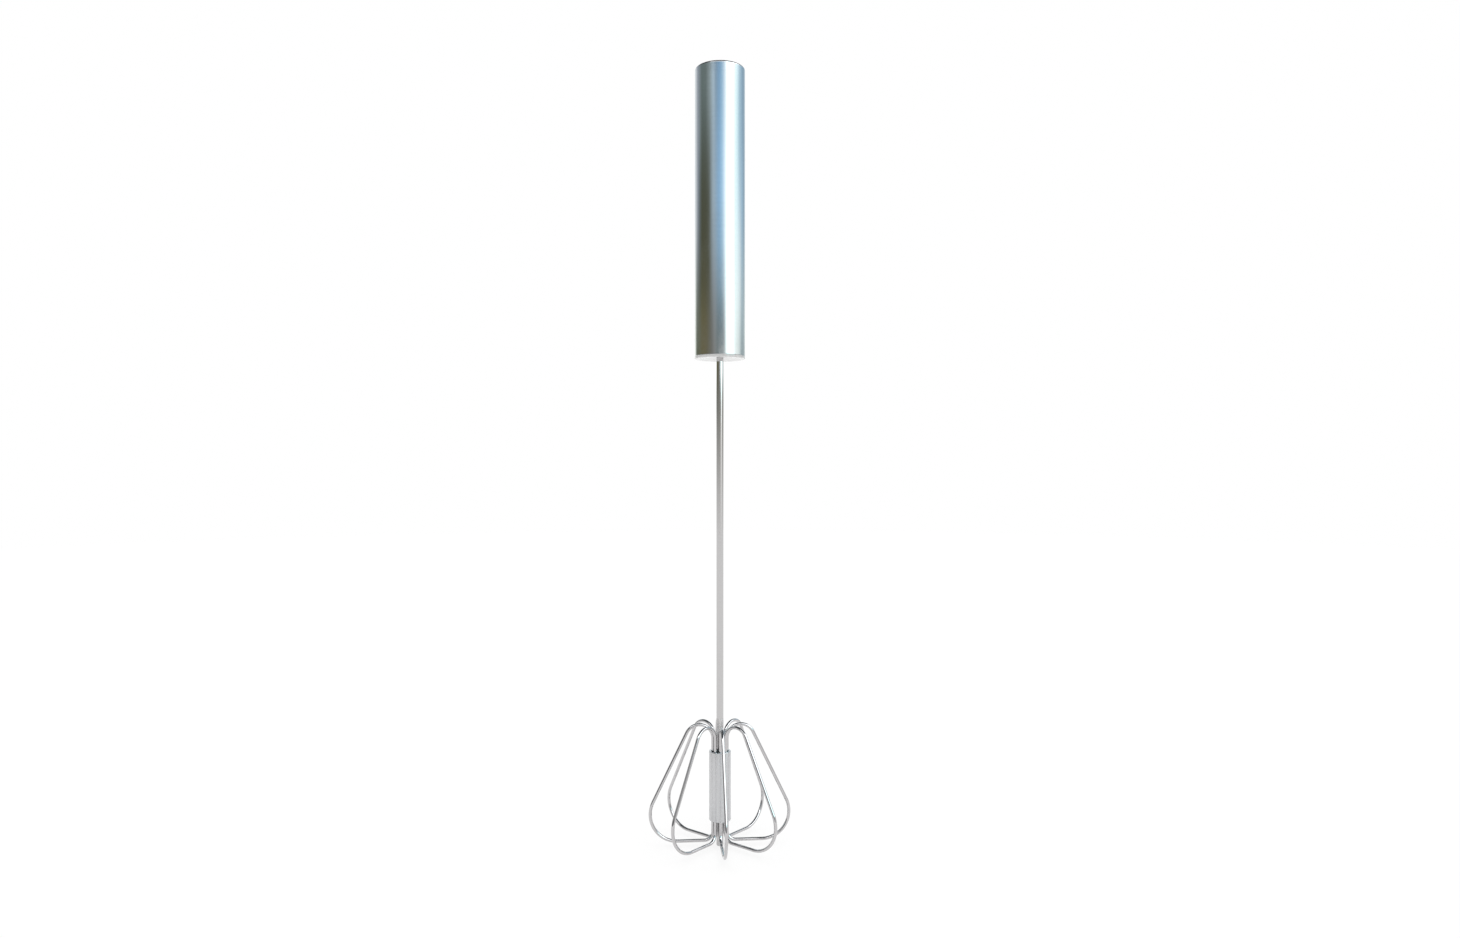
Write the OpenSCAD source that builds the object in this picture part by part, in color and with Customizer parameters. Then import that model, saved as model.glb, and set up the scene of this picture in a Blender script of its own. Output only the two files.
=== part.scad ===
// Push-down rotary egg beater, in millimetres.
// A tubular handle is pressed down over a thin shaft. A two-lug head on the
// shaft runs in the helical grooves of a liner inside the handle, so the shaft
// and its eight wire loops spin about the shaft's lower tip. A spring returns
// the handle.
// +Z runs up the shaft axis, the origin is the centre of the shaft's lower tip,
// and the first wire loop points along -Y.
// Name endings: _d diameter, _r radius, _t thickness, _h height, _z height
// above the shaft tip, _z0 and _z1 the lower and upper end of a part.

/* [Overall] */
// Height from the shaft tip to the top of the handle
overall_h = 355.3; // [350:0.1:360]
// Height of the handle's underside above the shaft tip
handle_z = 222.5; // [220:0.5:225]

/* [Handle] */
// Outside diameter of the handle tube
handle_d = 23; // [22.8:0.1:24]
// Wall of the handle tube
handle_wall = 0.8; // [0.6:0.1:0.8]
// Thickness of the closed top of the tube
handle_top_t = 1.2; // [1.0:0.1:1.4]
// Radius of the rounded edge around the top
handle_round = 1.2; // [0.3:0.1:1.5]
// Thickness of the end cap's visible flange
cap_flange_t = 1.3; // [1.0:0.1:1.6]
// How far the flange stands proud of the tube
cap_proud = 0; // [0:0.05:0.4]
// Depth of the shallow dish in the end cap's underside
cap_dish = 1.2; // [0:0.1:1.4]
// Length of the end cap's plug inside the tube
cap_plug_h = 8; // [7:0.5:9]

/* [Drive] */
// Advance of the helical grooves in one turn
lead = 36; // [32:1:48]
// Travel of the handle along the shaft, up to the stop on the spring cap
stroke = 75; // [60:1:75]
// Bore of the helical liner
liner_bore_d = 13; // [12.8:0.1:13.2]
// Depth radius of the two grooves
groove_r = 8.4; // [8.2:0.1:8.6]
// Width of each groove
groove_w = 4.0; // [3.8:0.1:4.4]
// Play between a lug and its groove, on each face
lug_play = 0.3; // [0.2:0.05:0.4]
// Height of the drive head
head_h = 10; // [9:0.5:11]
// Diameter of the pin that fixes the drive head to the shaft
drive_pin_d = 1.5; // [1.2:0.1:1.6]

/* [Spring] */
// Diameter of the spring wire
spring_wire_d = 0.9; // [0.8:0.1:1.0]
// Mean radius of the spring coil
spring_r = 5.25; // [5.0:0.05:5.4]
// Number of coils, with the closed ones
spring_turns = 20; // [16:1:22]

/* [Shaft] */
// Diameter of the shaft
shaft_d = 3.2; // [3.0:0.1:3.4]
// Chamfer at the shaft's lower tip
tip_chamfer = 0.5; // [0.2:0.1:0.6]

/* [Whisk] */
// Diameter of the loop wire
wire_d = 1.5; // [1.2:0.1:1.6]
// Distance of the gripped wires from the shaft axis
grip_r = 3.25; // [3.2:0.05:3.4]
// Height of the top of a loop's centre line
loop_top_z = 55.4; // [53:0.1:58]
// Radius of the crook at the top of a loop
crook_r = 6.3; // [5.5:0.1:6.6]
// Radius of the big outer bend
belly_r = 12.5; // [11:0.1:13.5]
// Reach of a loop's centre line from the shaft axis
reach = 31.85; // [29:0.05:35]
// Height of the centre line along the bottom of a loop
loop_low_z = 2.5; // [2:0.05:3]
// Radius of the bend that turns the wire up into the sleeve
heel_r = 4.0; // [3.6:0.1:5.0]
// Lower end of the sleeve
sleeve_z0 = 11.9; // [11:0.1:13]
// Upper end of the sleeve
sleeve_z1 = 43.4; // [42:0.1:45]
// Wall of the sleeve
sleeve_wall = 0.95; // [0.8:0.05:1.1]

/* [Hidden] */
$fn = 96;
wire_count = 8;

// Gaps that keep neighbouring parts separate
hole_gap = 0.01;    // radial, around the shaft and pin where they are fixed
fit_gap = 0.02;     // between parts that touch
part_gap = 0.05;    // between stacked or sliding parts
loose_gap = 0.1;    // below the drive head and above the liner and spring cap's flange

cut = 1;            // reach of a cutter beyond the face it opens
merge = 0.01;       // overlap that joins the neck to the drive head

// Colours shared by several parts
off_white = [0.93, 0.93, 0.90];
brass = [0.80, 0.66, 0.36];
dark_steel = [0.60, 0.62, 0.65];

// Handle
tube_r = handle_d / 2;
tube_inner_r = tube_r - handle_wall;
tube_z0 = handle_z + cap_flange_t;
plug_z1 = tube_z0 + cap_plug_h;
inner_top_z = overall_h - handle_top_t;     // inside face of the closed top
spring_cap_t = 2.7;                         // flange of the spring cap
liner_z0 = plug_z1 + part_gap;
liner_z1 = inner_top_z - spring_cap_t - loose_gap;
liner_bore_r = liner_bore_d / 2;
washer_t = 1.5;

// Drive
shaft_r = shaft_d / 2;
head_z0 = plug_z1 + washer_t + loose_gap;
head_z1 = head_z0 + head_h;
head_r = liner_bore_r - 0.15;
lug_r = groove_r - 0.3;
neck_h = 4;                                 // collar above the drive head
pin_z = head_z0 + head_h / 2;
shaft_z1 = head_z1 + 1.5;
seat_t = 1.5;
seat_z0 = head_z1 + part_gap;
spring_z0 = seat_z0 + seat_t + part_gap;
spring_z1 = liner_z1;
stop_z = head_z1 + neck_h + stroke + 0.5;   // lower end of the spring cap's guide

// Sleeves that grip the wires
wire_r = wire_d / 2;
sleeve_inner_r = grip_r + wire_r + fit_gap;
core_r = grip_r - wire_r - fit_gap;
core_inset = 0.4;                           // the core ends this far inside the sleeve

// Wire loop in its own plane: x is the distance from the axis, y is the height
bend_wire_r = wire_r + 0.02;                // bends swell a little
run_lap = 0.3;                              // reach of a straight run into a bend
joint_z = (sleeve_z0 + sleeve_z1) / 2;      // middle of the gap between the wire's ends
joint_half_gap = 0.5;
crook_centre = [grip_r + crook_r, loop_top_z - crook_r];
belly_centre = [reach - belly_r, loop_low_z + belly_r];
heel_centre = [grip_r + heel_r, loop_low_z + heel_r];
// The leg is tangent to the crook and the belly, which share its normal
crook_to_belly = belly_centre - crook_centre;
leg_angle = acos((crook_r - belly_r) / norm(crook_to_belly))
    + atan2(crook_to_belly[1], crook_to_belly[0]);
leg_normal = [cos(leg_angle), sin(leg_angle)];
leg_top = crook_centre + crook_r * leg_normal;
leg_end = belly_centre + belly_r * leg_normal;

// ---------- helpers ----------

// Angle of the grooves at a height, right-handed about +Z
function groove_angle(z) = 360 * (z - liner_z0) / lead;

// Points of an arc, in degrees
function arc(centre, radius, from, to, steps) =
    [for (i = [0:steps])
        let (angle = from + (to - from) * i / steps)
            centre + radius * [cos(angle), sin(angle)]];

module ring(outer_r, inner_r, height) {
    difference() {
        cylinder(r = outer_r, h = height);
        translate([0, 0, -cut]) cylinder(r = inner_r, h = height + 2 * cut);
    }
}

// Two opposite bars between two radii, twisted along the grooves' helix
module twisted_pair(inner_r, outer_r, width, height, slices_per_turn) {
    linear_extrude(height = height, twist = -360 * height / lead,
                   slices = ceil(height / lead * slices_per_turn), $fn = 4)
        for (side = [0, 180]) rotate(side)
            translate([inner_r, -width / 2]) square([outer_r - inner_r, width]);
}

// Cylinder along the drive pin's axis, square to the lugs
module cross_cylinder(radius, length) {
    translate([0, 0, pin_z])
        rotate([0, 0, groove_angle(pin_z) + 90])
            rotate([0, 90, 0])
                cylinder(r = radius, h = length, center = true);
}

module pin_hole() {
    cross_cylinder(radius = drive_pin_d / 2 + hole_gap, length = 40);
}

// ---------- handle ----------

module handle_tube() {
    corner = 0.4;       // chamfer inside the closed top
    color([0.74, 0.77, 0.80])
    rotate_extrude()
        polygon(concat(
            [[tube_inner_r, tube_z0], [tube_r, tube_z0]],
            arc(centre = [tube_r - handle_round, overall_h - handle_round],
                radius = handle_round, from = 0, to = 90, steps = 6),
            [[0, overall_h], [0, inner_top_z], [tube_inner_r - corner, inner_top_z],
             [tube_inner_r, inner_top_z - corner]]
        ));
}

plug_r = tube_inner_r - fit_gap;

// End cap without its pocket and bore: a dished flange below a plug
module end_cap_body() {
    flange_r = tube_r + cap_proud;
    flange_z1 = tube_z0 - fit_gap;
    rim_w = 1;          // from the flange's edge to the rim of the dish
    low_round = 0.4;    // rounding of the flange's lower edge
    top_chamfer = 0.13;
    plug_chamfer = 0.5;
    rotate_extrude()
        polygon(concat(
            [[0, handle_z + cap_dish], [flange_r - rim_w, handle_z]],
            arc(centre = [flange_r - low_round, handle_z + low_round],
                radius = low_round, from = -90, to = 0, steps = 4),
            [[flange_r, flange_z1 - top_chamfer], [flange_r - top_chamfer, flange_z1],
             [plug_r, flange_z1], [plug_r, plug_z1 - plug_chamfer],
             [plug_r - plug_chamfer, plug_z1], [0, plug_z1]]
        ));
}

// Space between the plug's rim and the shaft's boss, crossed by six ribs
module end_cap_pocket() {
    floor_z = handle_z + 2.6;
    rim_t = 1.5;
    boss_r = 4.5;
    rib_t = 1;
    rib_h = cap_plug_h - 2.2;
    rib_overlap = 0.5;  // reach of a rib into the boss
    difference() {
        translate([0, 0, floor_z]) cylinder(r = plug_r - rim_t, h = cap_plug_h + 2 * cut);
        translate([0, 0, floor_z - cut]) cylinder(r = boss_r, h = cap_plug_h + 4 * cut);
        for (angle = [0:60:300])
            rotate([0, 0, angle])
                translate([boss_r - rib_overlap, -rib_t / 2, floor_z - cut])
                    cube([plug_r, rib_t, rib_h + cut]);
    }
}

module end_cap() {
    color([0.91, 0.91, 0.90])
    difference() {
        end_cap_body();
        end_cap_pocket();
        translate([0, 0, handle_z - cut])
            cylinder(r = shaft_r + part_gap, h = plug_z1 - handle_z + 2 * cut);
    }
}

module helix_liner() {
    height = liner_z1 - liner_z0;
    cut_z0 = liner_z0 - cut;
    cut_h = height + 2 * cut;
    color(off_white)
    difference() {
        translate([0, 0, liner_z0]) cylinder(r = tube_inner_r - part_gap, h = height);
        translate([0, 0, cut_z0]) cylinder(r = liner_bore_r, h = cut_h);
        // two opposite helical grooves
        translate([0, 0, cut_z0])
            rotate([0, 0, groove_angle(cut_z0)])
                twisted_pair(inner_r = liner_bore_r - cut, outer_r = groove_r,
                             width = groove_w, height = cut_h, slices_per_turn = 40);
    }
}

// Flange above the liner, with a long guide down through the spring
module spring_cap() {
    flange_z0 = liner_z1 + part_gap;
    flange_z1 = flange_z0 + spring_cap_t;
    flange_r = tube_inner_r - 0.5;
    edge_w = 0.4;       // width and height of the bevel on the flange
    edge_h = 0.3;
    guide_r = 4.2;
    guide_chamfer = 0.6;
    color(off_white)
    rotate_extrude()
        polygon([[0, stop_z], [guide_r - guide_chamfer, stop_z],
                 [guide_r, stop_z + guide_chamfer], [guide_r, flange_z0],
                 [flange_r, flange_z0], [flange_r, flange_z1 - edge_h],
                 [flange_r - edge_w, flange_z1], [0, flange_z1]]);
}

// Height of the spring's centre line after some turns, with one closed coil at each end
function coil_z(turns) =
    let (closed_pitch = spring_wire_d + 0.06,
         low_z = spring_z0 + spring_wire_d / 2 + fit_gap,
         high_z = spring_z1 - spring_wire_d / 2 - fit_gap,
         open_pitch = (high_z - low_z - 2 * closed_pitch) / (spring_turns - 2))
    turns < 1 ? low_z + closed_pitch * turns
    : turns > spring_turns - 1 ? high_z - closed_pitch * (spring_turns - turns)
    : low_z + closed_pitch + open_pitch * (turns - 1);

module return_spring() {
    per_turn = 14;      // wire sections in one turn
    sides = 6;          // corners of a wire section
    steps = spring_turns * per_turn;
    slope = atan((coil_z(3) - coil_z(2)) / (2 * PI * spring_r));
    // Each section is a polygon tilted to the slope of the open coils
    points = [for (i = [0:steps], k = [0:sides - 1])
        let (angle = 360 * i / per_turn,
             corner = 360 * k / sides,
             radius = spring_r + spring_wire_d / 2 * cos(corner),
             rise = spring_wire_d / 2 * sin(corner),
             back = rise * sin(slope))
            [radius * cos(angle) + back * sin(angle),
             radius * sin(angle) - back * cos(angle),
             coil_z(i / per_turn) + rise * cos(slope)]];
    faces = concat(
        [[for (k = [0:sides - 1]) k]],
        [for (i = [0:steps - 1], k = [0:sides - 1])
            let (here = i * sides + k, next = i * sides + (k + 1) % sides)
                each [[here, here + sides, next], [next, here + sides, next + sides]]],
        [[for (k = [sides - 1:-1:0]) steps * sides + k]]
    );
    color(dark_steel)
    polyhedron(points = points, faces = faces, convexity = 8);
}

module bump_washer() {
    color([0.20, 0.20, 0.21])
    translate([0, 0, plug_z1 + fit_gap])
        ring(outer_r = liner_bore_r - 0.25, inner_r = shaft_r + 0.4, height = washer_t);
}

// ---------- sliding seat ----------

module spring_seat() {
    color(brass)
    translate([0, 0, seat_z0])
        ring(outer_r = head_r - 0.05, inner_r = 3.5, height = seat_t);
}

// ---------- spinning shaft and whisk ----------

// Lugs that follow the grooves, trimmed to a cylinder
module lugs() {
    end_inset = 1;      // the lugs stop this far inside the head's ends
    root = 1;           // reach of the lugs into the head
    trim = 1;           // excess length that the cylinder trims away
    lug_z0 = head_z0 + end_inset;
    intersection() {
        translate([0, 0, lug_z0])
            rotate([0, 0, groove_angle(lug_z0)])
                twisted_pair(inner_r = head_r - root, outer_r = lug_r + trim,
                             width = groove_w - 2 * lug_play,
                             height = head_h - 2 * end_inset, slices_per_turn = 48);
        translate([0, 0, head_z0]) cylinder(r = lug_r, h = head_h);
    }
}

module drive_head() {
    neck_r = 3.4;
    bore_z0 = head_z0 - cut;
    color(brass)
    difference() {
        union() {
            translate([0, 0, head_z0]) cylinder(r = head_r, h = head_h);
            translate([0, 0, head_z1 - merge]) cylinder(r = neck_r, h = neck_h + merge);
            lugs();
        }
        // blind bore that ends just above the shaft
        translate([0, 0, bore_z0])
            cylinder(r = shaft_r + hole_gap, h = shaft_z1 + part_gap - bore_z0);
        pin_hole();
    }
}

module drive_pin() {
    end_inset = 0.2;    // each end stops this far inside the head's surface
    color(dark_steel)
    cross_cylinder(radius = drive_pin_d / 2, length = 2 * (head_r - end_inset));
}

module shaft() {
    top_chamfer = 0.3;
    color([0.78, 0.80, 0.82])
    difference() {
        rotate_extrude()
            polygon([[0, 0], [shaft_r - tip_chamfer, 0], [shaft_r, tip_chamfer],
                     [shaft_r, shaft_z1 - top_chamfer], [shaft_r - top_chamfer, shaft_z1],
                     [0, shaft_z1]]);
        pin_hole();
    }
}

module core_sleeve() {
    color([0.62, 0.64, 0.67])
    translate([0, 0, sleeve_z0 + core_inset])
        ring(outer_r = core_r, inner_r = shaft_r + hole_gap,
             height = sleeve_z1 - sleeve_z0 - 2 * core_inset);
}

module hub_sleeve() {
    outer_r = sleeve_inner_r + sleeve_wall;
    chamfer = 0.2;
    color([0.80, 0.81, 0.83])
    rotate_extrude()
        polygon([[sleeve_inner_r, sleeve_z0], [outer_r - chamfer, sleeve_z0],
                 [outer_r, sleeve_z0 + chamfer], [outer_r, sleeve_z1 - chamfer],
                 [outer_r - chamfer, sleeve_z1], [sleeve_inner_r, sleeve_z1]]);
}

// A straight run of wire between two points of the loop's plane, lengthened at
// each end to reach into the bends
module run(start, end, start_lap = run_lap, end_lap = run_lap) {
    span = end - start;
    translate([start[0], 0, start[1]])
        rotate([0, atan2(span[0], span[1]), 0])
            translate([0, 0, -start_lap])
                cylinder(r = wire_r, h = norm(span) + start_lap + end_lap);
}

// A bend of the wire about a point of the loop's plane, from the lower angle up
module bend(centre, radius, from, to) {
    translate([centre[0], 0, centre[1]])
        rotate([90, 0, 0])
            rotate([0, 0, from])
                rotate_extrude(angle = to - from)
                    translate([radius, 0]) circle(r = bend_wire_r);
}

// The loop, from its upper end in the sleeve, out over the top and back below
module wire_loop() {
    union() {
        run([grip_r, joint_z + joint_half_gap], [grip_r, crook_centre[1]], start_lap = 0);
        bend(crook_centre, crook_r, from = leg_angle, to = 180);
        run(leg_top, leg_end);
        bend(belly_centre, belly_r, from = -90, to = leg_angle);
        run([belly_centre[0], loop_low_z], [heel_centre[0], loop_low_z]);
        bend(heel_centre, heel_r, from = -180, to = -90);
        run([grip_r, heel_centre[1]], [grip_r, joint_z - joint_half_gap], end_lap = 0);
    }
}

module whisk_wire(number) {
    color([0.80, 0.82, 0.84])
    rotate([0, 0, -90 + 360 / wire_count * (number - 1)]) wire_loop();
}

handle_tube();
end_cap();
helix_liner();
spring_cap();
return_spring();
bump_washer();
spring_seat();
drive_head();
drive_pin();
shaft();
core_sleeve();
hub_sleeve();
whisk_wire(1);  // whisk_wire_1
whisk_wire(2);  // whisk_wire_2
whisk_wire(3);  // whisk_wire_3
whisk_wire(4);  // whisk_wire_4
whisk_wire(5);  // whisk_wire_5
whisk_wire(6);  // whisk_wire_6
whisk_wire(7);  // whisk_wire_7
whisk_wire(8);  // whisk_wire_8
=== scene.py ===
# A push whisk, standing upright: its axis is Z and its wire loops stand just above the floor at
# Z = 0. A steel handle tube with a return spring inside slides on a rod; a hub low on the rod
# holds eight wire loops. The camera stands near -Y. Product sizes are in millimetres, the
# stage is in metres, and angles are in degrees unless a name says otherwise.
import math

import bpy
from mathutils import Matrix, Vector

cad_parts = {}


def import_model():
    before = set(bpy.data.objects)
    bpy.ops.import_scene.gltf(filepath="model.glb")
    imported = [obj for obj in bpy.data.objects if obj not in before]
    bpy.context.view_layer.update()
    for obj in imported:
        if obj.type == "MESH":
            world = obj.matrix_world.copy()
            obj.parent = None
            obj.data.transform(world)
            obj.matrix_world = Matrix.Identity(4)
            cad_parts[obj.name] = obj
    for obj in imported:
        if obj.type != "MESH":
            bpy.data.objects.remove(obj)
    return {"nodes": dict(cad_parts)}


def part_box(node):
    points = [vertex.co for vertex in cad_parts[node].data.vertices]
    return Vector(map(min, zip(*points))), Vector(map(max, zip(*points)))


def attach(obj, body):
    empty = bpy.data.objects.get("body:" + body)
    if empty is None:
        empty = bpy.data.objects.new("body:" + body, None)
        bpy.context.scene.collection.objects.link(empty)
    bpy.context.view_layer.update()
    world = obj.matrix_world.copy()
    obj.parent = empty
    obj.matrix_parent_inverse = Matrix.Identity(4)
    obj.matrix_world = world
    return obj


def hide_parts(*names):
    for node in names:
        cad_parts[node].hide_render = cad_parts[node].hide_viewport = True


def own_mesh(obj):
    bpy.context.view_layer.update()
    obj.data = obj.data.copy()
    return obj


CAD_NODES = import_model()["nodes"]
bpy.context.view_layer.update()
MM = 0.001
scene = bpy.context.scene

# Directions across the floor, towards the camera and to the camera's right
CAMERA_TURN = math.radians(4.95)  # from -Y towards -X
TO_CAMERA = Vector((-math.sin(CAMERA_TURN), -math.cos(CAMERA_TURN), 0))
RIGHT = Vector((math.cos(CAMERA_TURN), -math.sin(CAMERA_TURN), 0))

STEEL = 0.54  # share of light that stainless steel sends back
PEAK = 4.8  # strength of the reflected surroundings; their colours are shares of it

# ------------------------------------------------------------------ shader nodes


def linear(level):
    """An sRGB level, 255 for white, as linear light."""
    level /= 255.0
    return level / 12.92 if level <= 0.04045 else ((level + 0.055) / 1.055) ** 2.4


def tone(*rgb):
    """The light, as a share of PEAK, that shows in the steel as these sRGB levels."""
    return tuple(linear(level) / STEEL / PEAK for level in rgb)


class Nodes:
    """A short way to write a node tree. An input may be a value or another node's socket."""

    def __init__(self, tree):
        self.tree = tree
        self.x = 0

    def add(self, kind, inputs=None, **props):
        node = self.tree.nodes.new(kind)
        self.x += 180
        node.location = (self.x, 0)
        for key, value in props.items():
            setattr(node, key, value)
        for key, value in (inputs or {}).items():
            if isinstance(value, bpy.types.NodeSocket):
                self.tree.links.new(value, node.inputs[key])
            else:
                node.inputs[key].default_value = value
        return node

    def math(self, operation, *values):
        return self.add("ShaderNodeMath", dict(enumerate(values)), operation=operation).outputs[0]

    def times(self, product, *factors):
        for factor in factors:
            product = self.math("MULTIPLY", product, factor)
        return product

    def radius(self, x, y):
        return self.math("SQRT", self.math("ADD", self.times(x, x), self.times(y, y)))

    def vector_add(self, first, second):
        return self.add("ShaderNodeVectorMath", {0: first, 1: second}, operation="ADD").outputs[0]

    def dot(self, vector, axis):
        node = self.add("ShaderNodeVectorMath", {0: vector, 1: tuple(axis)},
                        operation="DOT_PRODUCT")
        return node.outputs["Value"]

    def scale(self, vector, factor):
        return self.add("ShaderNodeVectorMath", {0: vector, "Scale": factor},
                        operation="SCALE").outputs[0]

    def step(self, value, start, end, out_start=0.0, out_end=1.0):
        """A smooth step; it falls with the value where start is above end."""
        return self.add("ShaderNodeMapRange",
                        {"Value": value, "From Min": start, "From Max": end,
                         "To Min": out_start, "To Max": out_end},
                        interpolation_type="SMOOTHSTEP").outputs["Result"]

    def band(self, value, start, full, fade, end):
        """1 between full and fade, 0 before start and past end."""
        return self.times(self.step(value, start, full), self.step(value, end, fade))

    def mix(self, factor, first, second):
        first, second = ((*colour, 1.0) if isinstance(colour, tuple) else colour
                         for colour in (first, second))
        return self.add("ShaderNodeMix", {"Factor": factor, 6: first, 7: second},
                        data_type="RGBA").outputs[2]

    def mix_shader(self, factor, first, second):
        return self.add("ShaderNodeMixShader",
                        {0: factor, 1: first.outputs[0], 2: second.outputs[0]})

    def ramp(self, place, rows):
        """A colour ramp from rows of azimuth and sRGB levels seen in steel."""
        node = self.add("ShaderNodeValToRGB", {0: place})
        elements = node.color_ramp.elements
        elements.remove(elements[-1])
        for i, (azimuth, *rgb) in enumerate(rows):
            position = azimuth / 360 + 0.5
            element = elements.new(position) if i else elements[0]
            element.position = position
            element.color = (*tone(*rgb), 1.0)
        return node.outputs["Color"]

    def azimuth(self, vector):
        """Degrees round from the camera, positive to its right, and the rightward part."""
        toward = self.dot(vector, TO_CAMERA)
        rightward = self.dot(vector, RIGHT)
        return self.times(self.math("ARCTAN2", rightward, toward), 180 / math.pi), rightward

    def ramp_place(self, azimuth):
        return self.math("ADD", self.math("DIVIDE", azimuth, 360.0), 0.5)

    def split(self, vector):
        return self.add("ShaderNodeSeparateXYZ", {0: vector}).outputs

    def circle(self, angle):
        return self.math("COSINE", angle), self.math("SINE", angle)

    def circle_point(self, circle, size, z):
        """A point on a circle, so that noise has no seam where the angle wraps."""
        x, y = (self.times(part, size) for part in circle)
        return self.add("ShaderNodeCombineXYZ", {0: x, 1: y, 2: z}).outputs[0]

    def noise(self, vector, scale, detail, roughness):
        return self.add("ShaderNodeTexNoise",
                        {"Vector": vector, "Scale": scale, "Detail": detail,
                         "Roughness": roughness}, noise_dimensions="3D").outputs["Fac"]

    def bump(self, height, strength, distance):
        return self.add("ShaderNodeBump", {"Strength": strength, "Distance": distance,
                                           "Height": height}).outputs[0]

    def surface(self, shader):
        self.add("ShaderNodeOutputMaterial", {"Surface": shader.outputs[0]})


def new_material(name):
    material = bpy.data.materials.new(name)
    material.use_nodes = True
    material.node_tree.nodes.clear()
    return material, Nodes(material.node_tree)


# ------------------------------------------------------------------ materials


def grain_places(nodes, finish, across, along):
    """Where the fine and the broad noise are read, for each finish of metal()."""
    if finish == "wire":
        uv_map = nodes.add("ShaderNodeUVMap", uv_map="sweep")
        sweep_uv = nodes.split(uv_map.outputs[0])
        angle = nodes.times(sweep_uv["X"], 2 * math.pi)
        return (nodes.circle_point(nodes.circle(angle), along, nodes.times(sweep_uv["Y"], across)),
                nodes.circle_point(nodes.circle(angle), 0.8, nodes.times(sweep_uv["Y"], 0.25)))
    place = nodes.split(nodes.add("ShaderNodeTexCoord").outputs["Object"])
    circle = nodes.circle(nodes.math("ARCTAN2", place["Y"], place["X"]))
    height = nodes.times(place["Z"], 1000.0)  # in millimetres
    if finish == "ring":
        radius = nodes.times(nodes.radius(place["X"], place["Y"]), 1000.0)
        fine = nodes.circle_point(circle, across,
                                  nodes.times(nodes.math("ADD", height, radius), along / 10.0))
    else:
        fine = nodes.circle_point(circle, along, nodes.times(height, across / 10.0))
    return fine, nodes.circle_point(circle, 1.6, nodes.times(height, 0.05))


def metal(name, tint, rough, finish, bump, across, along, anisotropy=0.0):
    """Worked metal. The finish is 'ring' for turned, 'long' for drawn along Z, or 'wire' for
    drawn along a sweep. across and along are noise frequencies along and across the lines."""
    material, nodes = new_material(name)
    fine_place, broad_place = grain_places(nodes, finish, across, along)
    fine = nodes.noise(fine_place, scale=1.0, detail=6.0, roughness=0.62)
    broad = nodes.noise(broad_place, scale=1.0, detail=3.0, roughness=0.5)
    base = tuple(STEEL * part for part in tint)
    dark = tuple(0.94 * part for part in base)
    inputs = {
        "Metallic": 1.0,
        "Base Color": nodes.mix(nodes.step(fine, 0.35, 0.7), base, dark),
        "Roughness": nodes.math("ADD", nodes.step(fine, 0.3, 0.75, rough * 0.85, rough * 1.25),
                                nodes.step(broad, 0.45, 0.7, 0.0, rough * 0.35)),
        "Normal": nodes.bump(fine, strength=bump, distance=0.00002),
    }
    if anisotropy:
        tangent = nodes.add("ShaderNodeTangent", direction_type="RADIAL", axis="Z")
        inputs["Tangent"] = tangent.outputs[0]
        inputs["Anisotropic"] = anisotropy
    nodes.surface(nodes.add("ShaderNodeBsdfPrincipled", inputs))
    return material


def plastic(name, colour, rough, bump=0.15, ior=1.5):
    """Moulded plastic or rubber with a fine grain and slight mottling."""
    material, nodes = new_material(name)
    place = nodes.add("ShaderNodeTexCoord").outputs["Object"]
    fine = nodes.noise(place, scale=3600.0, detail=3.0, roughness=0.5)
    broad = nodes.noise(place, scale=135.0, detail=3.0, roughness=0.5)
    mottled = tuple(0.96 * part for part in colour)
    nodes.surface(nodes.add("ShaderNodeBsdfPrincipled", {
        "Base Color": nodes.mix(nodes.step(broad, 0.4, 0.65), colour, mottled),
        "Roughness": nodes.step(fine, 0.3, 0.7, rough * 0.9, rough * 1.15),
        "IOR": ior,
        "Normal": nodes.bump(fine, strength=bump, distance=0.00005),
    }))
    return material


HANDLE_STEEL = metal("handle_steel", tint=(1.0, 1.0, 1.0), rough=0.13, finish="ring", bump=0.10,
                     across=1.5, along=90.0, anisotropy=0.35)
SHAFT_STEEL = metal("shaft_steel", tint=(1.012, 0.997, 0.997), rough=0.07, finish="ring",
                    bump=0.08, across=1.5, along=60.0)
HUB_STEEL = metal("hub_steel", tint=(1.055, 1.06, 1.08), rough=0.26, finish="long", bump=0.35,
                  across=0.35, along=26.0)
WIRE_STEEL = metal("wire_steel", tint=(1.018, 1.0, 1.01), rough=0.06, finish="wire", bump=0.12,
                   across=0.15, along=3.0)
SPRING_STEEL = metal("spring_steel", tint=(0.95, 0.95, 0.97), rough=0.22, finish="wire", bump=0.2,
                     across=0.2, along=3.0)
PIN_STEEL = metal("pin_steel", tint=(0.95, 0.95, 0.97), rough=0.24, finish="long", bump=0.2,
                  across=3.0, along=20.0)
BRASS = metal("drive_brass", tint=(1.55, 1.28, 0.72), rough=0.28, finish="ring", bump=0.3,
              across=2.0, along=40.0)
CAP_PLASTIC = plastic("cap_plastic", colour=(0.70, 0.70, 0.695), rough=0.04, bump=0.0, ior=1.42)
LINER_PLASTIC = plastic("liner_plastic", colour=(0.84, 0.84, 0.80), rough=0.5)
RUBBER = plastic("bump_rubber", colour=(0.035, 0.035, 0.037), rough=0.7)

# ------------------------------------------------------------------ shapes


def add_object(name, data):
    ob = bpy.data.objects.new(name, data)
    scene.collection.objects.link(ob)
    return ob


def on_circle(centre, radius, degrees):
    angle = math.radians(degrees)
    return centre[0] + radius * math.cos(angle), centre[1] + radius * math.sin(angle)


def arc(centre, radius, start, end, steps):
    return [on_circle(centre, radius, start + (end - start) * i / steps)
            for i in range(steps + 1)]


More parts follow.
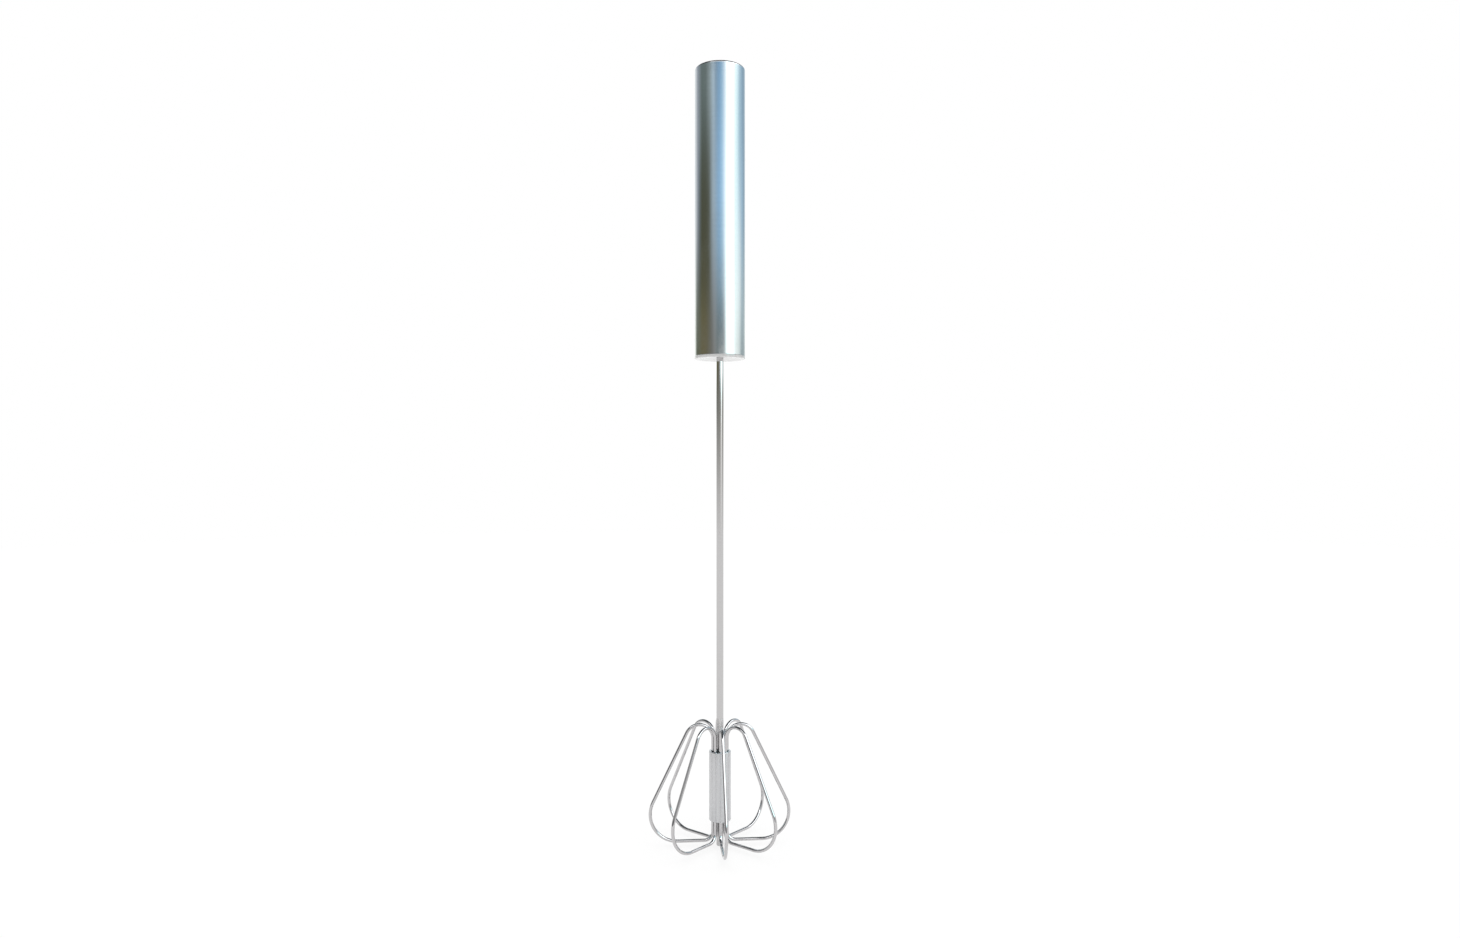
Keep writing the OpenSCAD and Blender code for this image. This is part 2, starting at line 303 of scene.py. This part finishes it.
def build(name, verts, faces, uvs, sharp, material, body, slot, replaced):
    mesh = bpy.data.meshes.new(name)
    mesh.from_pydata(verts, [], faces)
    layer = mesh.uv_layers.new(name="sweep")
    for poly, corner_uvs in zip(mesh.polygons, uvs):
        for i in range(poly.loop_total):
            layer.data[poly.loop_start + i].uv = corner_uvs[i]
    mesh.validate()
    mesh.update()
    mesh.shade_smooth()
    mesh.set_sharp_from_angle(angle=math.radians(sharp))
    mesh.materials.append(material)
    ob = add_object(name, mesh)
    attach(ob, body)
    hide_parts(replaced)
    return ob


def lathe(name, profile, segments, *fitting):
    """Turns a closed profile, (radius, height) in millimetres, about Z. The profile runs
    anticlockwise when seen with the radius to the right, so that the faces point out."""
    verts, rings = [], []
    for radius, z in profile:
        if radius < 1e-6:
            rings.append([len(verts)] * segments)
            verts.append((0, 0, z * MM))
        else:
            rings.append(list(range(len(verts), len(verts) + segments)))
            for k in range(segments):
                angle = 2 * math.pi * k / segments
                verts.append((radius * math.cos(angle) * MM, radius * math.sin(angle) * MM, z * MM))
    faces, uvs = [], []
    length = 0.0
    for i, start in enumerate(profile):
        j = (i + 1) % len(profile)
        end_length = length + math.dist(start, profile[j])
        if start[0] >= 1e-6 or profile[j][0] >= 1e-6:
            for k in range(segments):
                after = (k + 1) % segments
                quad = [rings[i][k], rings[i][after], rings[j][after], rings[j][k]]
                left, right = k / segments, (k + 1) / segments
                quad_uvs = [(left, length), (right, length),
                            (right, end_length), (left, end_length)]
                # a quad that meets the axis becomes a triangle
                corners = [q for q in range(4) if quad[q] != quad[q - 1]]
                faces.append([quad[q] for q in corners])
                uvs.append([quad_uvs[q] for q in corners])
        length = end_length
    return build(name, verts, faces, uvs, 32.0, *fitting)


def sweep(name, path, radius, sides, *fitting, azimuth=0.0, bevel=0.12):
    """A round wire with bevelled ends along a path of (point, normal) vectors in millimetres,
    turned about Z by azimuth, in radians."""
    cosine, sine = math.cos(azimuth), math.sin(azimuth)
    last = len(path) - 1
    verts, faces, uvs = [], [], []
    rings = []  # first vertex and distance along the wire
    distance = 0.0
    for i, (point, normal) in enumerate(path):
        if i:
            distance += (point - path[i - 1][0]).length
        tangent = path[min(i + 1, last)][0] - path[max(i - 1, 0)][0]
        tangent.normalize()
        normal = (normal - tangent * normal.dot(tangent)).normalized()
        binormal = tangent.cross(normal)
        stations = [(point, radius, distance)]
        if i == 0:
            stations = [(point, radius - bevel, 0.0), (point + tangent * bevel, radius, bevel)]
        elif i == last:
            stations = [(point - tangent * bevel, radius, distance - bevel),
                        (point, radius - bevel, distance)]
        for centre, size, along in stations:
            rings.append((len(verts), along))
            for k in range(sides):
                angle = 2 * math.pi * k / sides
                spot = (centre + normal * (size * math.cos(angle))
                        + binormal * (size * math.sin(angle)))
                verts.append(((spot.x * cosine - spot.y * sine) * MM,
                              (spot.x * sine + spot.y * cosine) * MM, spot.z * MM))
    for (ring, along), (next_ring, next_along) in zip(rings, rings[1:]):
        for k in range(sides):
            after = (k + 1) % sides
            left, right = k / sides, (k + 1) / sides
            faces.append([ring + k, ring + after, next_ring + after, next_ring + k])
            uvs.append([(left, along), (right, along), (right, next_along), (left, next_along)])
    faces.append([rings[0][0] + k for k in reversed(range(sides))])
    faces.append([rings[-1][0] + k for k in range(sides)])
    uvs += [[(0.5, 0.0)] * sides] * 2
    return build(name, verts, faces, uvs, 40.0, *fitting)


def extent(node):
    """Outer radius, bottom and top of a CAD piece, in millimetres."""
    low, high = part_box(node)
    return high[0] / MM, low[2] / MM, high[2] / MM


# ------------------------------------------------------------------ handle

WALL = 0.8
TOP_THICKNESS = 1.2
RIM_ROUND = 1.2
RIM_START = 16  # the rounded top edge starts at this angle, with a faint corner
RIM_STEPS = 9
INNER_ROUND = 0.4  # between the wall and the underside of the top
MOUTH_BEVEL = 0.10


def build_handle():
    outer, bottom, top = extent("handle_tube")
    inner = outer - WALL
    rim_x = outer - RIM_ROUND * math.cos(math.radians(RIM_START))
    rim_z = top - RIM_ROUND
    rim_foot = rim_z + RIM_ROUND * math.sin(math.radians(RIM_START)) - 0.12
    ceiling = top - TOP_THICKNESS
    profile = [
        (inner, bottom + MOUTH_BEVEL), (inner + MOUTH_BEVEL, bottom),
        (outer - MOUTH_BEVEL, bottom), (outer, bottom + MOUTH_BEVEL),
        (outer, bottom + 1.0), (outer, bottom + 40), (outer, bottom + 80),
        (outer, rim_z - 1.0), (outer, rim_foot),
        *arc((rim_x, rim_z), RIM_ROUND, RIM_START, 90, RIM_STEPS),
        (rim_x - 1.5, top), (outer * 0.5, top), (0, top),
        (0, ceiling), (inner - 0.6, ceiling),
        *arc((inner - INNER_ROUND, ceiling - INNER_ROUND), INNER_ROUND, 90, 0, 4)[1:],
        (inner, bottom + 60),
    ]
    lathe("handle_shell", profile, 160, HANDLE_STEEL, "handle", "handle_steel", "handle_tube")


build_handle()

# ------------------------------------------------------------------ rod and hub

ROD_ROUND = 0.5  # at the bottom end
ROD_BEVEL = 0.3  # at the top end
HUB_WALL = 0.95
HUB_ROUND = 0.22
HUB_BEVEL = 0.12  # round the bore


def build_rod():
    radius, bottom, top = extent("shaft")
    profile = [
        (0, bottom),
        *arc((radius - ROD_ROUND, bottom + ROD_ROUND), ROD_ROUND, -90, 0, 5),
        *[(radius, bottom + rise) for rise in (30, 90, 150, 200)],
        (radius, top - ROD_BEVEL), (radius - ROD_BEVEL, top), (0, top),
    ]
    lathe("shaft_rod", profile, 64, SHAFT_STEEL, "whisk", "shaft_steel", "shaft")


def build_hub():
    outer, bottom, top = extent("hub_sleeve")
    inner = outer - HUB_WALL
    profile = [
        (inner, bottom + HUB_BEVEL), (inner + HUB_BEVEL, bottom), (outer - 0.25, bottom),
        *arc((outer - HUB_ROUND, bottom + HUB_ROUND), HUB_ROUND, -90, 0, 4)[1:],
        (outer, bottom + 8), (outer, top - 8),
        *arc((outer - HUB_ROUND, top - HUB_ROUND), HUB_ROUND, 0, 90, 4),
        (inner + HUB_BEVEL, top), (inner, top - HUB_BEVEL),
    ]
    lathe("hub_collar", profile, 96, HUB_STEEL, "whisk", "hub_steel", "hub_sleeve")


build_rod()
build_hub()

# ------------------------------------------------------------------ wire loops

# The centre line of a loop: a straight in the hub, the crook at the top, the leg, the belly,
# the run in to the hub and the heel. CROOK, BELLY and HEEL are bend radii.
LOOPS = 8
WIRE_RADIUS = 0.75
GRIP = 3.25  # from the axis to the wire in the hub
LOOP_TOP = 55.4
LOOP_BOTTOM = 2.5
REACH = 31.85  # from the axis to the outermost point
CROOK = 6.3
BELLY = 12.5
HEEL = 4.0
HALF_GAP = 0.5  # half the gap between the two ends, in the middle of the hub


def wire_path():
    _, hub_bottom, hub_top = extent("hub_sleeve")
    middle = (hub_bottom + hub_top) / 2
    crook = Vector((GRIP + CROOK, LOOP_TOP - CROOK))
    belly = Vector((REACH - BELLY, LOOP_BOTTOM + BELLY))
    heel = Vector((GRIP + HEEL, LOOP_BOTTOM + HEEL))
    # the leg is tangent to both bends, and this is the angle of its normal
    across = belly - crook
    leg = math.degrees(math.acos((CROOK - BELLY) / across.length)
                       - math.atan2(-across.y, across.x))
    stations = []  # distance from the axis, height, angle of the normal in the loop's plane

    def line(start, end, steps, normal):
        for i in range(steps):
            share = i / steps
            stations.append((start[0] + (end[0] - start[0]) * share,
                             start[1] + (end[1] - start[1]) * share, normal))

    def bend(centre, radius, start, end, steps):
        for i in range(steps):
            angle = start + (end - start) * i / steps
            stations.append((*on_circle(centre, radius, angle), angle))

    line((GRIP, middle + HALF_GAP), (GRIP, crook.y), 6, 180)
    bend(crook, CROOK, 180, leg, 34)
    line(on_circle(crook, CROOK, leg), on_circle(belly, BELLY, leg), 10, leg)
    bend(belly, BELLY, leg, -90, 40)
    line((belly.x, LOOP_BOTTOM), (heel.x, LOOP_BOTTOM), 6, -90)
    bend(heel, HEEL, -90, -180, 18)
    line((GRIP, heel.y), (GRIP, middle - HALF_GAP), 6, -180)
    stations.append((GRIP, middle - HALF_GAP, -180))
    path = []
    for x, z, degrees in stations:
        angle = math.radians(degrees)
        path.append((Vector((x, 0, z)), Vector((math.cos(angle), 0, math.sin(angle)))))
    return path


for i in range(LOOPS):
    sweep(f"wire_loop_{i + 1}", wire_path(), WIRE_RADIUS, 20,
          WIRE_STEEL, "whisk", "wire_steel", f"whisk_wire_{i + 1}",
          azimuth=math.radians(-90 + 360 / LOOPS * i))

# ------------------------------------------------------------------ spring

TURNS = 20
TURN_STEPS = 36
COIL_RADIUS = 5.25
COIL_WIRE = 0.45  # radius of the wire
CLOSED_PITCH = 2 * COIL_WIRE + 0.06  # of the closed coil at each end


def build_spring():
    _, bottom, top = extent("return_spring")
    start = bottom + COIL_WIRE
    open_turns = TURNS - 2
    pitch = (top - COIL_WIRE - start - 2 * CLOSED_PITCH) / open_turns
    path = []
    for i in range(TURNS * TURN_STEPS + 1):
        turn = i / TURN_STEPS
        angle = 2 * math.pi * turn
        z = (start + CLOSED_PITCH * min(turn, 1) + pitch * max(0, min(turn - 1, open_turns))
             + CLOSED_PITCH * max(0, turn - TURNS + 1))
        # the closed coil at each end runs smoothly into the open ones
        ease = math.exp(-((turn - 1) / 0.22) ** 2) - math.exp(-((turn - TURNS + 1) / 0.22) ** 2)
        z += 0.09 * (pitch - CLOSED_PITCH) * ease
        path.append((Vector((COIL_RADIUS * math.cos(angle), COIL_RADIUS * math.sin(angle), z)),
                     Vector((math.cos(angle), math.sin(angle), 0))))
    coil = sweep("return_coil", path, COIL_WIRE, 12,
                 SPRING_STEEL, "handle", "spring_steel", "return_spring", bevel=0.08)
    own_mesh(coil)


build_spring()

# ------------------------------------------------------------------ CAD pieces that get a material

CAD_MATERIALS = {
    "end_cap": CAP_PLASTIC, "helix_liner": LINER_PLASTIC, "spring_cap": LINER_PLASTIC,
    "return_spring": PIN_STEEL, "bump_washer": RUBBER, "spring_seat": BRASS,
    "drive_head": BRASS, "drive_pin": PIN_STEEL, "core_sleeve": HUB_STEEL,
}
for name, material in CAD_MATERIALS.items():
    piece = CAD_NODES[name]
    if not piece.material_slots:
        piece.data.materials.append(material)
    for slot in piece.material_slots:
        slot.material = material

# ------------------------------------------------------------------ world

# The surroundings as the metal reflects them. Each row is an azimuth, 0 towards the camera and
# positive to its right, then the red, green and blue that the steel shows.
WHITE = (290, 352, 352)
# from 15.5 degrees up: dark on the left, blue by the camera, a soft box on the right
UPPER = [
    (-180, 200, 205, 208), (-140, 190, 196, 200), (-123, 142, 150, 160), (-104, 120, 132, 136),
    (-90, 90, 103, 102), (-68, 92, 104, 104), (-48, 128, 141, 144), (-28, 156, 176, 190),
    (-18, 132, 158, 178), (-4, 124, 162, 194), (9, 150, 186, 212), (20, 198, 220, 238),
    (29, 242, 255, 255), (36, *WHITE), (62, *WHITE), (70, 238, 255, 255), (84, 214, 242, 250),
    (99, 166, 196, 212), (116, 146, 174, 194), (134, 124, 150, 168), (180, 200, 205, 208)]
# about 6 degrees up
LOWER = [
    (-180, 215, 218, 214), (-148, 205, 210, 205), (-134, 92, 98, 84), (-104, 100, 101, 80),
    (-90, 104, 98, 68), (-68, 104, 98, 70), (-48, 100, 99, 88), (-36, 104, 103, 98),
    (-24, 124, 126, 124), (-9, 116, 128, 128), (3, 108, 126, 128), (12, 122, 138, 140),
    (19, 158, 170, 174), (27, 242, 255, 255), (34, *WHITE), (64, *WHITE), (72, 242, 255, 255),
    (88, 222, 236, 234), (116, 156, 172, 176), (138, 160, 174, 178), (180, 215, 218, 214)]
# just under 4 degrees up, level with the table's edge
TABLE_EDGE = [
    (-180, 112, 114, 110), (-150, 90, 94, 90), (-110, 107, 109, 105), (-60, 115, 115, 110),
    (-20, 117, 117, 112), (4, 115, 115, 111), (24, 113, 114, 111), (35, 142, 143, 141),
    (42, 292, 292, 290), (54, 292, 292, 290), (61, 184, 184, 181), (70, 168, 168, 165),
    (98, 156, 156, 152), (118, 90, 92, 88), (150, 80, 82, 78), (180, 112, 114, 110)]
# from 1.2 degrees up to 4 degrees down
TABLE = [
    (-180, 160, 162, 160), (-110, 126, 126, 122), (-20, 126, 126, 121), (8, 130, 130, 125),
    (29, 182, 183, 181), (39, 230, 230, 227), (54, 230, 230, 227), (68, 162, 162, 158),
    (100, 148, 148, 145), (124, 112, 112, 109), (150, 112, 112, 109), (180, 160, 162, 160)]
# soft contrast far below the horizon, and on the floor as the handle sees it
ROOM = [
    (-180, 204, 208, 210), (-152, 240, 242, 243), (-128, 150, 156, 158), (-96, 112, 118, 118),
    (-62, 140, 147, 150), (-30, 182, 192, 200), (4, 214, 224, 232), (28, 262, 264, 264),
    (62, 262, 264, 264), (84, 200, 210, 216), (112, 132, 142, 150), (140, 158, 166, 171),
    (164, 214, 219, 222), (180, 204, 208, 210)]
# Soft patches, lighter or darker than what is round them: four azimuths and four elevations
# (start, full, fade, end), then the gain.
PATCHES = [
    (-27, -17, 25, 34, 8.5, 12.0, 16.0, 20.5, 0.22),
    (-96, -84, -32, -22, 18.5, 21.8, None, None, 0.30),
    (-122, -112, -101, -94, 7.5, 10.0, 15.5, 18.5, -0.32),
    (110, 119, 128, 137, 7.5, 9.5, 16.0, 19.0, 0.20),
    (74, 82, 104, 114, 7.0, 9.0, 15.0, 18.0, 0.07),
    (-22, -8, 18, 29, 5.9, 6.1, 6.8, 9.4, -0.56),
    (104, 114, 150, 160, 6.0, 6.2, 6.5, 6.9, -0.25),
    (-132, -118, -62, -50, 4.3, 4.9, 6.0, 6.3, -0.28)]


def patch(nodes, azimuth, elevation, left, left_full, right_full, right, low, full, fade, end):
    """1 inside a soft-edged patch of the room, 0 outside. It has no upper edge if end is None."""
    inside = nodes.times(nodes.band(azimuth, left, left_full, right_full, right),
                         nodes.step(elevation, low, full))
    return inside if end is None else nodes.times(inside, nodes.step(elevation, end, fade))


def reflected_room(nodes, azimuth, elevation):
    place = nodes.ramp_place(azimuth)
    upper = nodes.ramp(place, UPPER)
    lower = nodes.ramp(place, LOWER)
    level = nodes.ramp(place, TABLE_EDGE)
    level = nodes.mix(nodes.step(elevation, 4.0, 1.2), level, nodes.ramp(place, TABLE))
    level = nodes.mix(nodes.step(elevation, 4.0, -5.5), level, tone(197, 197, 197))
    level = nodes.mix(nodes.step(elevation, -4.4, -8.0), level, nodes.ramp(place, ROOM))
    room = nodes.mix(nodes.step(elevation, 6.5, 15.5), lower, upper)
    room = nodes.mix(nodes.step(elevation, 3.4, 6.0), level, room)
    # the left is darkest at mid height
    dark = nodes.times(nodes.band(elevation, 7.0, 11.5, 15.0, 21.0),
                       nodes.band(azimuth, -110.0, -90.0, -56.0, -32.0), 0.85)
    room = nodes.mix(dark, room, tone(68, 68, 50))
    # and the right is lightest there
    light = nodes.times(nodes.band(elevation, 6.2, 9.5, 10.5, 18.5),
                        nodes.band(azimuth, 70.0, 90.0, 102.0, 122.0), 0.42)
    room = nodes.mix(light, room, tone(240, 250, 252))
    gain = 1.0
    for *edges, share in PATCHES:
        inside = patch(nodes, azimuth, elevation, *edges)
        gain = nodes.math("ADD", gain, nodes.times(inside, share))
    room = nodes.scale(room, gain)
    # a lit strip just above the table's edge
    strip = patch(nodes, azimuth, elevation, -20, 6, 92, 114, 4.95, 5.3, 6.0, 6.25)
    room = nodes.mix(nodes.times(strip, 0.7), room, tone(262, 264, 262))
    # a dim ceiling, lighter behind the product
    behind = nodes.times(nodes.step(nodes.math("ABSOLUTE", azimuth), 118.0, 150.0),
                         nodes.step(elevation, 44.0, 34.0))
    ceiling = nodes.mix(behind, tone(64, 67, 69), tone(172, 179, 184))
    room = nodes.mix(nodes.step(elevation, 22.6, 27.0), room, ceiling)
    # a soft box hung above the camera, reaching lower on the right
    box_foot = nodes.math("SUBTRACT", 32.0, nodes.step(azimuth, 8.0, 30.0, 0.0, 10.0))
    box_height = nodes.times(
        nodes.step(nodes.math("SUBTRACT", elevation, box_foot), 0.0, 4.0),
        nodes.step(elevation, 50.0, 45.0))
    box = nodes.times(nodes.band(azimuth, -58.0, -46.0, 96.0, 118.0), box_height)
    return nodes.mix(box, room, tone(330, 333, 335))


def build_world():
    """Reflections see the room, other light comes from a plain dome, the camera sees white."""
    world = bpy.data.worlds.new("studio")
    scene.world = world
    world.use_nodes = True
    world.node_tree.nodes.clear()
    nodes = Nodes(world.node_tree)
    direction = nodes.add("ShaderNodeTexCoord").outputs["Generated"]
    azimuth, rightward = nodes.azimuth(direction)
    up = nodes.split(direction)["Z"]
    elevation = nodes.times(nodes.math("ARCSINE", up), 180 / math.pi)
    room = reflected_room(nodes, azimuth, elevation)
    # the dome is brightest overhead, and gives a little more from the left
    dome = nodes.math("ADD", 0.24, nodes.times(nodes.times(up, up), 1.66))
    dome = nodes.math("SUBTRACT", dome, nodes.times(rightward, 0.06))

    def background(colour, strength):
        return nodes.add("ShaderNodeBackground", {"Color": colour, "Strength": strength})

    white = (1, 1, 1, 1)
    ray = nodes.add("ShaderNodeLightPath").outputs
    lit = nodes.mix_shader(ray["Is Glossy Ray"], background(white, dome), background(room, PEAK))
    shader = nodes.mix_shader(ray["Is Camera Ray"], lit, background(white, 1.0))
    nodes.add("ShaderNodeOutputWorld", {"Surface": shader.outputs[0]})


build_world()

# ------------------------------------------------------------------ floor

FLOOR_RADIUS = 2.2
FLOOR_SIDES = 64
CAMERA_GLOW = 0.82  # share of the paper's own light that the camera sees
REFLECTED_GLOW = 0.6  # the same in reflections


def paper():
    material, nodes = new_material("floor_paper")
    place = nodes.add("ShaderNodeTexCoord").outputs["Object"]
    mottle = nodes.noise(place, scale=30.0, detail=3.0, roughness=0.55)
    colour = nodes.mix(mottle, (0.955, 0.955, 0.958), (0.965, 0.965, 0.965))
    diffuse = nodes.add("ShaderNodeBsdfDiffuse", {"Color": colour})
    # to the camera, and in the metal's reflections, the paper is lit from below as well, so
    # that it is just white and the shadows on it stay faint
    ray = nodes.add("ShaderNodeLightPath").outputs
    strength = nodes.math("ADD", 1.0, nodes.times(ray["Is Glossy Ray"], 0.06))
    glow = nodes.add("ShaderNodeEmission", {"Strength": strength})
    glow_share = nodes.math("ADD", nodes.times(ray["Is Camera Ray"], CAMERA_GLOW),
                            nodes.times(ray["Is Glossy Ray"], REFLECTED_GLOW))
    plain = nodes.mix_shader(glow_share, diffuse, glow)
    # seen in the handle, which is above everything else, the floor carries the same soft
    # contrast as the room; every lower piece sees plain paper
    ray = nodes.add("ShaderNodeLightPath").outputs
    geometry = nodes.add("ShaderNodeNewGeometry").outputs
    height = nodes.times(nodes.split(geometry["Incoming"])["Z"], ray["Ray Length"])
    from_handle = nodes.times(nodes.step(height, 0.2232, 0.2239), ray["Is Glossy Ray"])
    azimuth, _ = nodes.azimuth(geometry["Position"])
    room = nodes.add("ShaderNodeEmission", {
        "Color": nodes.ramp(nodes.ramp_place(azimuth), ROOM), "Strength": PEAK})
    nodes.surface(nodes.mix_shader(from_handle, plain, room))
    return material


def build_floor():
    verts = [(0, 0, 0)]
    for k in range(FLOOR_SIDES):
        angle = 2 * math.pi * k / FLOOR_SIDES
        verts.append((FLOOR_RADIUS * math.cos(angle), FLOOR_RADIUS * math.sin(angle), 0))
    mesh = bpy.data.meshes.new("floor")
    mesh.from_pydata(verts, [], [(0, k + 1, (k + 1) % FLOOR_SIDES + 1)
                                 for k in range(FLOOR_SIDES)])
    floor = add_object("floor", mesh)
    mesh.materials.append(paper())


build_floor()

# ------------------------------------------------------------------ screen

# The loops stand low, so they see the lit boxes over a dark wall round the table. The wall is
# a curved screen that shows only in reflections from low points clear of the rod.
SCREEN_RADIUS = 0.42
SCREEN_BOTTOM = 0.002
SCREEN_TOP = 0.34
SCREEN_STEPS = 48
# azimuth, then the red, green and blue that the steel shows, at the foot and at the head
CLOTH_FOOT = [
    (-140, 130, 131, 131), (-80, 114, 115, 115), (-50, 94, 95, 96), (-20, 86, 87, 88),
    (4, 94, 95, 96), (18, 142, 142, 143), (30, 170, 170, 171), (140, 182, 182, 183)]
CLOTH_HEAD = [
    (-140, 130, 131, 131), (-80, 132, 133, 133), (-20, 138, 139, 139), (4, 148, 149, 149),
    (18, 168, 168, 168), (30, 178, 178, 178), (140, 182, 182, 183)]


def screen_cloth():
    material, nodes = new_material("screen_cloth")
    ray = nodes.add("ShaderNodeLightPath").outputs
    geometry = nodes.add("ShaderNodeNewGeometry").outputs
    place = geometry["Position"]
    # the point that the ray left, and whether it is low and clear of the rod
    back = nodes.scale(geometry["Incoming"], ray["Ray Length"])
    origin = nodes.split(nodes.vector_add(place, back))
    low = nodes.times(nodes.step(nodes.radius(origin["X"], origin["Y"]), 0.0051, 0.0056),
                      nodes.step(origin["Z"], 0.150, 0.140), ray["Is Glossy Ray"])
    # the cloth fades out at its top, its foot and its two ends; its top is lower on the right
    azimuth, _ = nodes.azimuth(place)
    height = nodes.split(place)["Z"]
    cloth_top = nodes.step(azimuth, 4.0, 24.0, 0.305, 0.165)
    cover = nodes.times(nodes.step(nodes.math("SUBTRACT", cloth_top, height), 0.0, 0.035),
                        nodes.step(height, 0.004, 0.026),
                        nodes.band(azimuth, -140.0, -118.0, 118.0, 140.0))
    ramp_place = nodes.ramp_place(azimuth)
    colour = nodes.mix(nodes.step(height, 0.11, 0.20), nodes.ramp(ramp_place, CLOTH_FOOT),
                       nodes.ramp(ramp_place, CLOTH_HEAD))
    cloth = nodes.add("ShaderNodeEmission", {"Color": colour, "Strength": PEAK})
    clear = nodes.add("ShaderNodeBsdfTransparent")
    nodes.surface(nodes.mix_shader(nodes.times(low, cover), clear, cloth))
    return material


def build_screen():
    verts = []
    for k in range(SCREEN_STEPS + 1):
        angle = math.radians(-150 + 300 * k / SCREEN_STEPS)
        spot = (TO_CAMERA * math.cos(angle) + RIGHT * math.sin(angle)) * SCREEN_RADIUS
        verts += [(spot.x, spot.y, SCREEN_BOTTOM), (spot.x, spot.y, SCREEN_TOP)]
    mesh = bpy.data.meshes.new("screen")
    mesh.from_pydata(verts, [], [(2 * k, 2 * k + 1, 2 * k + 3, 2 * k + 2)
                                 for k in range(SCREEN_STEPS)])
    screen = add_object("screen", mesh)
    screen.visible_camera = False
    screen.visible_diffuse = False
    screen.visible_shadow = False
    screen.visible_transmission = False
    mesh.materials.append(screen_cloth())


build_screen()

# ------------------------------------------------------------------ light and camera

KEY_PLACE = RIGHT * 0.55 + TO_CAMERA * 0.35 + Vector((0, 0, 0.95))
KEY_TARGET = Vector((0, 0, 0.02))
CAMERA_DISTANCE = 0.4579
CAMERA_HEIGHT = 0.1741


def build_key():
    """A soft lamp, high on the camera's right."""
    key = bpy.data.lights.new("key", "AREA")
    key.shape = "DISK"
    key.size = 0.5
    key.energy = 0.8
    lamp = add_object("key", key)
    lamp.location = KEY_PLACE
    lamp.rotation_euler = (KEY_TARGET - KEY_PLACE).to_track_quat("-Z", "Y").to_euler()
    lamp.visible_glossy = False


def build_camera():
    """A level camera that looks at the axis."""
    camera = bpy.data.cameras.new("camera")
    camera_ob = add_object("camera", camera)
    camera.sensor_width = 36.0
    camera.lens = 24.657534
    camera.clip_start = 0.01
    camera.clip_end = 50.0
    camera.shift_x = 0.0068835616
    camera.shift_y = -0.002739726
    camera_ob.location = TO_CAMERA * CAMERA_DISTANCE + Vector((0, 0, CAMERA_HEIGHT))
    camera_ob.rotation_euler = (math.radians(90), 0, -CAMERA_TURN)
    scene.camera = camera_ob


build_key()
build_camera()
scene.view_settings.view_transform = "Standard"
scene.view_settings.look = "None"
